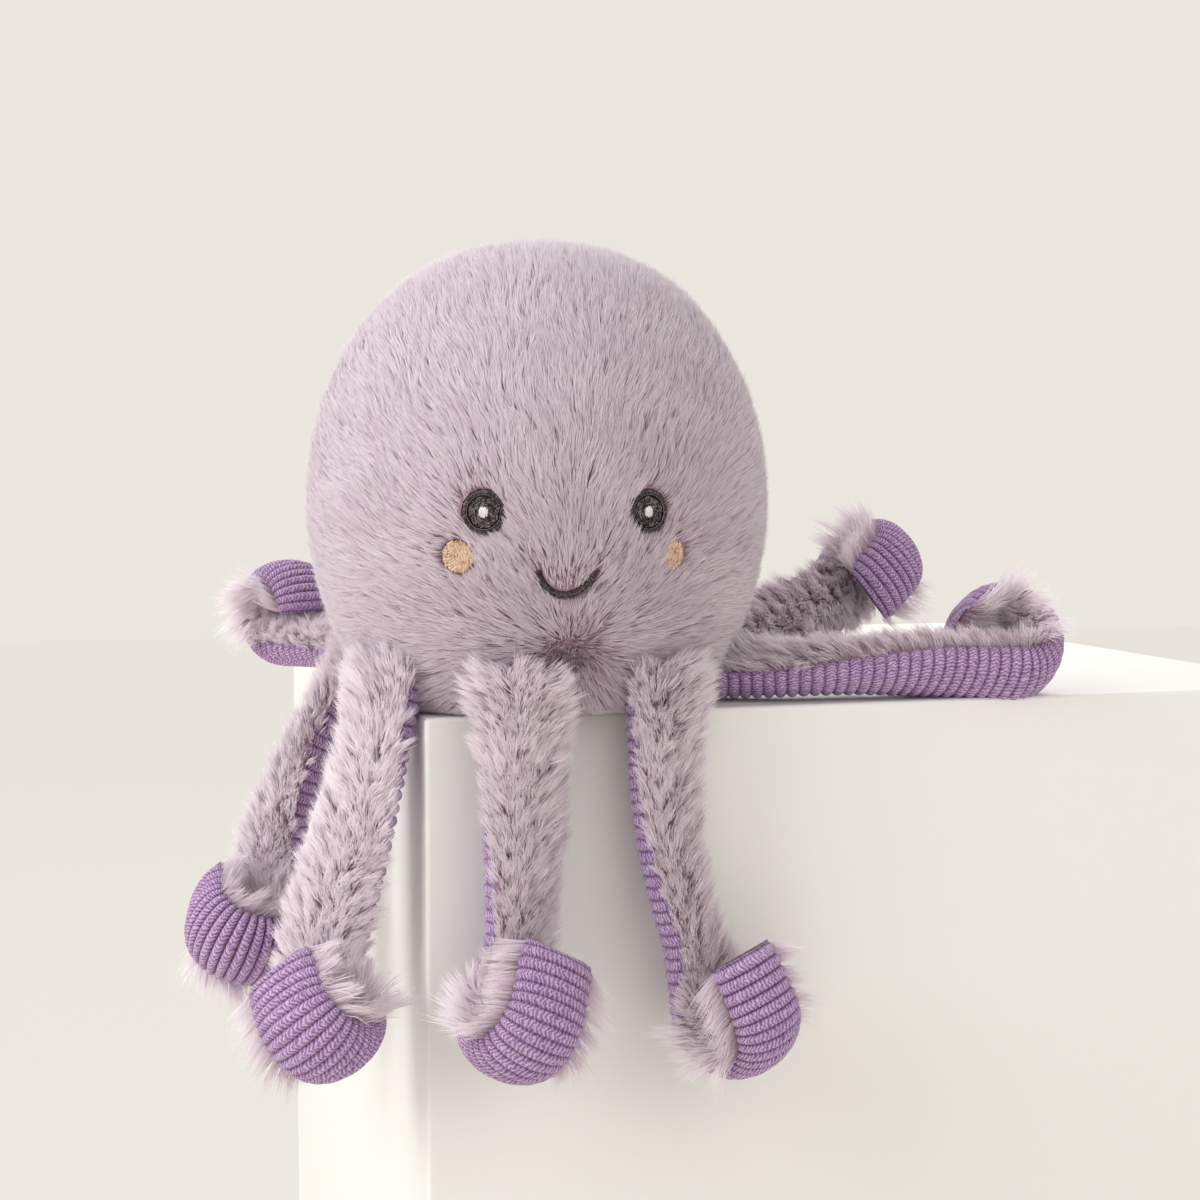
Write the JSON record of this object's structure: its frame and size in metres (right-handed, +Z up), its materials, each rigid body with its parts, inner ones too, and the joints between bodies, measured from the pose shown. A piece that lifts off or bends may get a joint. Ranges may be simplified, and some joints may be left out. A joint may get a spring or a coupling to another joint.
{
  "type": "plush octopus",
  "caption": "Soft toy octopus: a round fur head with a stitched face over a ring of fur and corduroy limbs that swing at their roots and end in curls.",
  "frame": {"origin": "middle of the flat seat under the head", "axes": "+Z up; the face looks towards -Y; left and right in the names are as one faces the toy, with +X on the right"},
  "size_m": [0.3455, 0.3197, 0.3017],
  "materials": {
    "fur": "short lilac-grey faux fur",
    "corduroy": "wide-wale purple corduroy",
    "filling": "white polyester fibre",
    "dark_thread": "charcoal embroidery",
    "white_thread": "white embroidery",
    "peach_thread": "peach embroidery"
  },
  "bodies": {
    "head": {"head_cover_front": "fur", "head_cover_back": "fur", "base_panel": "corduroy", "head_filling": "filling", "eye_left": "dark_thread", "eye_right": "dark_thread", "eye_ring_left": "dark_thread", "eye_ring_right": "dark_thread", "eye_glint_left": "white_thread", "eye_glint_right": "white_thread", "cheek_left": "peach_thread", "cheek_right": "peach_thread", "smile": "dark_thread"},
    "limb_front_left": {"limb_front_left_fur": "fur", "limb_front_left_corduroy": "corduroy", "limb_front_left_filling": "filling"},
    "limb_front_right": {"limb_front_right_fur": "fur", "limb_front_right_corduroy": "corduroy", "limb_front_right_filling": "filling"},
    "limb_right_front": {"limb_right_front_fur": "fur", "limb_right_front_corduroy": "corduroy", "limb_right_front_filling": "filling"},
    "limb_right_back": {"limb_right_back_fur": "fur", "limb_right_back_corduroy": "corduroy", "limb_right_back_filling": "filling"},
    "limb_back_right": {"limb_back_right_fur": "fur", "limb_back_right_corduroy": "corduroy", "limb_back_right_filling": "filling"},
    "limb_back_left": {"limb_back_left_fur": "fur", "limb_back_left_corduroy": "corduroy", "limb_back_left_filling": "filling"},
    "limb_left_back": {"limb_left_back_fur": "fur", "limb_left_back_corduroy": "corduroy", "limb_left_back_filling": "filling"},
    "limb_left_front": {"limb_left_front_fur": "fur", "limb_left_front_corduroy": "corduroy", "limb_left_front_filling": "filling"}
  },
  "joints": [
    {"name": "lift_front_left", "type": "hinge", "parent": "head", "child": "limb_front_left", "pos_m": [-0.01515, -0.06834, 0.01], "axis": [-0.9763, 0.2164, 0], "range_deg": [0, 130]},
    {"name": "lift_front_right", "type": "hinge", "parent": "head", "child": "limb_front_right", "pos_m": [0.03761, -0.05904, 0.01], "axis": [-0.8434, -0.5373, 0], "range_deg": [0, 135]},
    {"name": "lift_right_front", "type": "hinge", "parent": "head", "child": "limb_right_front", "pos_m": [0.06834, -0.01515, 0.01], "axis": [-0.2164, -0.9763, 0], "range_deg": [0, 43]},
    {"name": "lift_right_back", "type": "hinge", "parent": "head", "child": "limb_right_back", "pos_m": [0.05904, 0.03761, 0.01], "axis": [0.5373, -0.8434, 0], "range_deg": [0, 35]},
    {"name": "lift_back_right", "type": "hinge", "parent": "head", "child": "limb_back_right", "pos_m": [0.01515, 0.06834, 0.01], "axis": [0.9763, -0.2164, 0], "range_deg": [0, 45]},
    {"name": "lift_back_left", "type": "hinge", "parent": "head", "child": "limb_back_left", "pos_m": [-0.03761, 0.05904, 0.01], "axis": [0.8434, 0.5373, 0], "range_deg": [0, 45]},
    {"name": "lift_left_back", "type": "hinge", "parent": "head", "child": "limb_left_back", "pos_m": [-0.06834, 0.01515, 0.01], "axis": [0.2164, 0.9763, 0], "range_deg": [0, 103]},
    {"name": "lift_left_front", "type": "hinge", "parent": "head", "child": "limb_left_front", "pos_m": [-0.05904, -0.03761, 0.01], "axis": [-0.5373, 0.8434, 0], "range_deg": [0, 119]}
  ]
}
